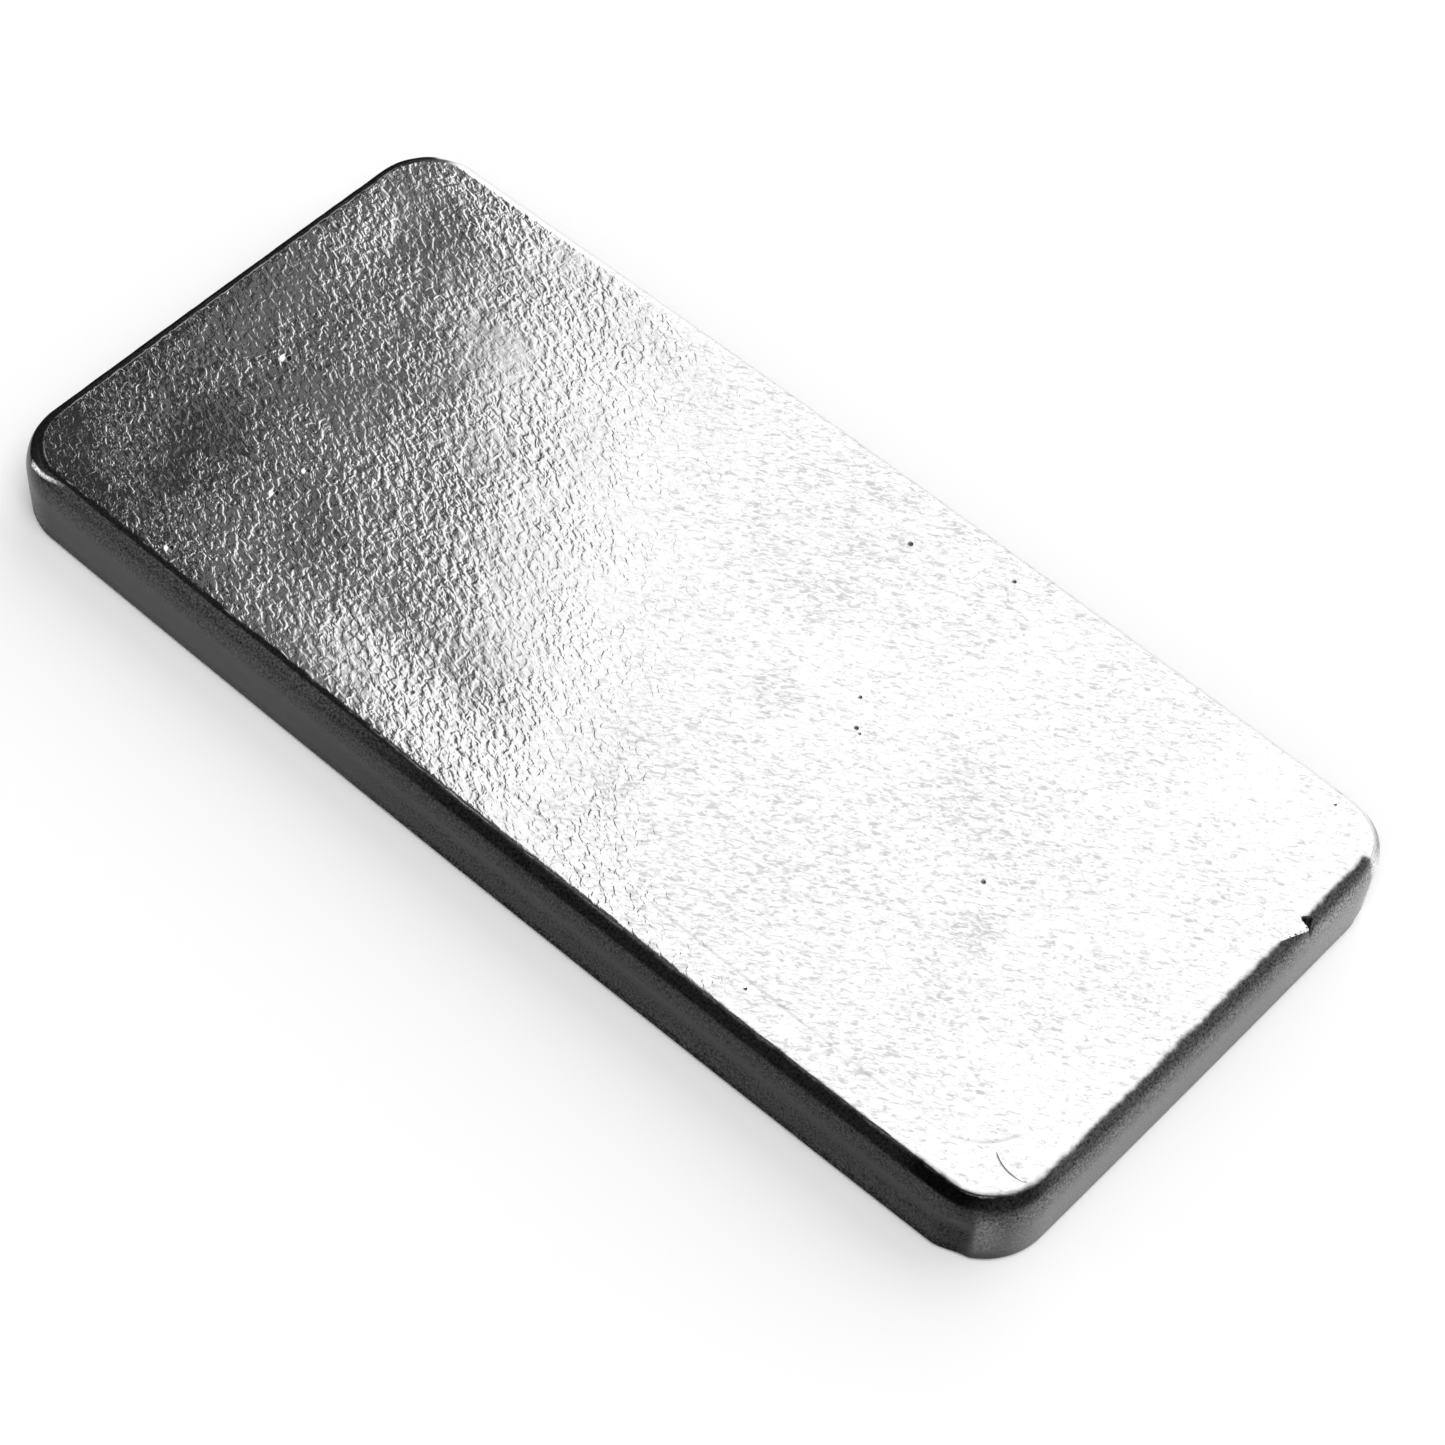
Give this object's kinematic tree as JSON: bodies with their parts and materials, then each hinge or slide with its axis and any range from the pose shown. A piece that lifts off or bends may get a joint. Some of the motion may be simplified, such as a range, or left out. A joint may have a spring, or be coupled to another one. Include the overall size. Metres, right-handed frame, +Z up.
{
  "type": "metal ingot",
  "caption": "Flat cast slab of silvery white metal with upright mould walls, crowned sides, a soft rounded shoulder and a frosted top face, stocked for remelting",
  "frame": {"origin": "middle of the underside, on the surface that the slab lies on", "axes": "+X along the length, towards the end with the chipped top edge; +Y across the width; +Z up through the thickness"},
  "size_m": [0.162, 0.0776, 0.0114],
  "materials": {
    "cast_metal": "satin"
  },
  "bodies": {
    "root": {"ingot": "cast_metal"}
  },
  "joints": []
}
